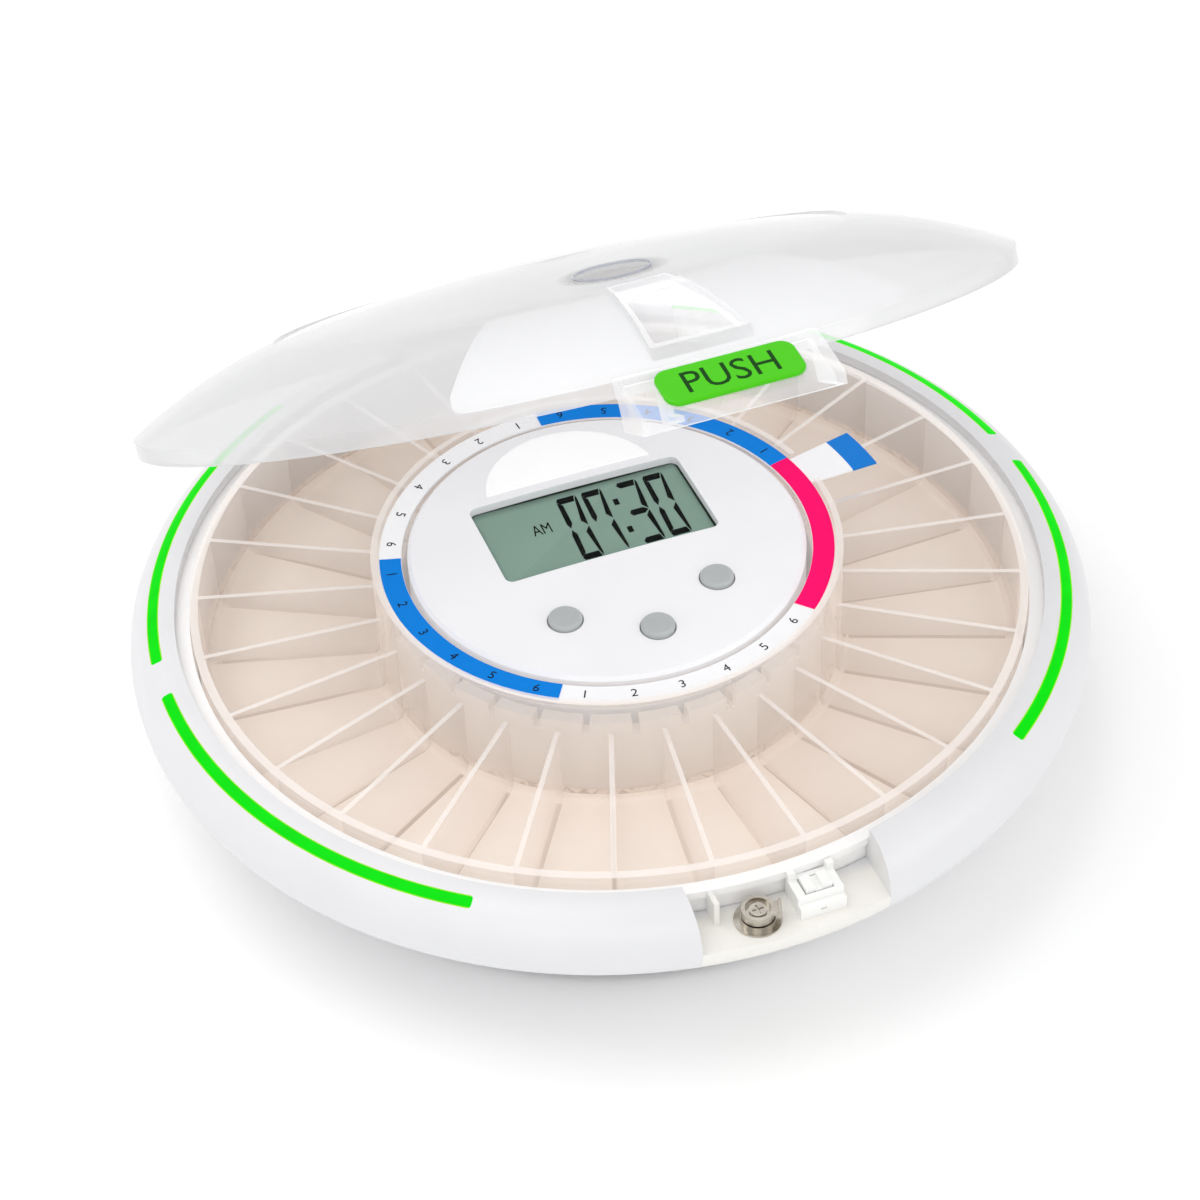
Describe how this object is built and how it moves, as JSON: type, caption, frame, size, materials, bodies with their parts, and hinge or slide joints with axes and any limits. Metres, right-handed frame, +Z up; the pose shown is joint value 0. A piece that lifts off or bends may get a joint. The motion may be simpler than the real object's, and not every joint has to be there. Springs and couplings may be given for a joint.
{
  "type": "pill dispenser",
  "caption": "Round table-top pill dispenser: white bowl, clear turning tray of wedge compartments, clear hinged lid, display hub with keys, lock and push latch.",
  "frame": {"origin": "on the table under the middle of the round base", "axes": "+Z up, the tray's axis; the lock pocket is at the front on -Y and the lid's hinge at the back on +Y"},
  "size_m": [0.226, 0.226, 0.1547],
  "materials": {
    "housing": "satin white moulding",
    "well": "satin white moulding",
    "clear": "clear polished plastic",
    "tray": "clear plastic with a faint warm tint",
    "light": "lit green light pipe",
    "blue": "printed blue",
    "pink": "printed magenta",
    "label": "white printed film",
    "button": "grey soft key",
    "lcd": "grey-green liquid crystal panel",
    "display_glass": "clear window",
    "push": "raised green soft label",
    "steel": "nickel plated",
    "latch": "white acetal",
    "ring": "off-white moulding",
    "gear": "natural acetal",
    "foot": "black rubber",
    "jack": "black socket",
    "board": "green circuit board",
    "cell": "plain battery sleeve",
    "contact": "nickel plated spring strip",
    "motor": "plain motor and gearbox",
    "buzzer": "black"
  },
  "bodies": {
    "base": {"base_housing": "housing", "tray_well": "well", "well_wall": "well", "battery_box": "housing", "hub_column": "housing", "hub_cap": "housing", "lcd_glass": "display_glass", "lcd_module": "lcd", "hub_sticker": "label", "main_board": "board", "tact_switches": "buzzer", "buzzer": "buzzer", "power_jack": "jack", "hinge_pin": "steel", "drive_motor": "motor", "lock_barrel": "steel", "latch_housing": "latch", "contacts_front": "contact", "contacts_rear": "contact", "light_front_right": "light", "light_front_left": "light", "light_rear_right": "light", "light_rear_left": "light", "foot_1": "foot", "case_screw_1": "steel", "battery_1": "cell", "foot_2": "foot", "case_screw_2": "steel", "battery_2": "cell", "foot_3": "foot", "case_screw_3": "steel", "battery_3": "cell", "foot_4": "foot", "case_screw_4": "steel", "battery_4": "cell"},
    "rotor": {"drive_ring": "ring", "ring_gear": "gear", "tray_floor": "tray", "tray_outer_wall": "tray", "tray_collar": "tray", "tray_dividers": "tray", "dosage_ring": "label", "band_blue_rear": "blue", "band_blue_left": "blue", "band_pink": "pink"},
    "pinion": {"drive_pinion": "gear"},
    "lid": {"lid_dome": "clear", "lid_plate": "label", "lid_chute": "label", "lid_tab": "clear", "push_label": "push"},
    "button_left": {"button_left": "button"},
    "button_middle": {"button_middle": "button"},
    "button_right": {"button_right": "button"},
    "lock": {"lock_plug": "steel", "lock_cam": "steel", "cam_screw": "steel"},
    "latch": {"latch_plunger": "latch"},
    "battery_door": {"battery_door": "housing"}
  },
  "joints": [
    {"name": "tray_spin", "type": "hinge", "parent": "base", "child": "rotor", "pos_m": [0, 0, 0.02], "axis": [0, 0, 1], "continuous": true},
    {"name": "pinion_spin", "type": "hinge", "parent": "base", "child": "pinion", "pos_m": [-0.05889, 0.034, 0.01], "axis": [0, 0, 1], "continuous": true},
    {"name": "lid_hinge", "type": "hinge", "parent": "base", "child": "lid", "pos_m": [0, 0.1052, 0.0423], "axis": [-1, 0, 0], "range_deg": [-31.9, 60]},
    {"name": "button_left_press", "type": "slide", "parent": "base", "child": "button_left", "axis": [0, 0, 1], "range_m": [-0.001, 0], "stiffness_N_per_m": 400},
    {"name": "button_middle_press", "type": "slide", "parent": "base", "child": "button_middle", "axis": [0, 0, 1], "range_m": [-0.001, 0], "stiffness_N_per_m": 400},
    {"name": "button_right_press", "type": "slide", "parent": "base", "child": "button_right", "axis": [0, 0, 1], "range_m": [-0.001, 0], "stiffness_N_per_m": 400},
    {"name": "key_turn", "type": "hinge", "parent": "base", "child": "lock", "pos_m": [-0.007, -0.106, 0.034], "axis": [0, 0, 1], "range_deg": [0, 170]},
    {"name": "latch_push", "type": "slide", "parent": "base", "child": "latch", "axis": [0, 0, 1], "range_m": [-0.002, 0], "stiffness_N_per_m": 400},
    {"name": "battery_door_hinge", "type": "hinge", "parent": "base", "child": "battery_door", "pos_m": [0, 0.02615, 0.00295], "axis": [1, 0, 0], "range_deg": [0, 95]}
  ],
  "couplings": [
    {"joint": "pinion_spin", "follows": "tray_spin", "ratio": -4.6667}
  ]
}
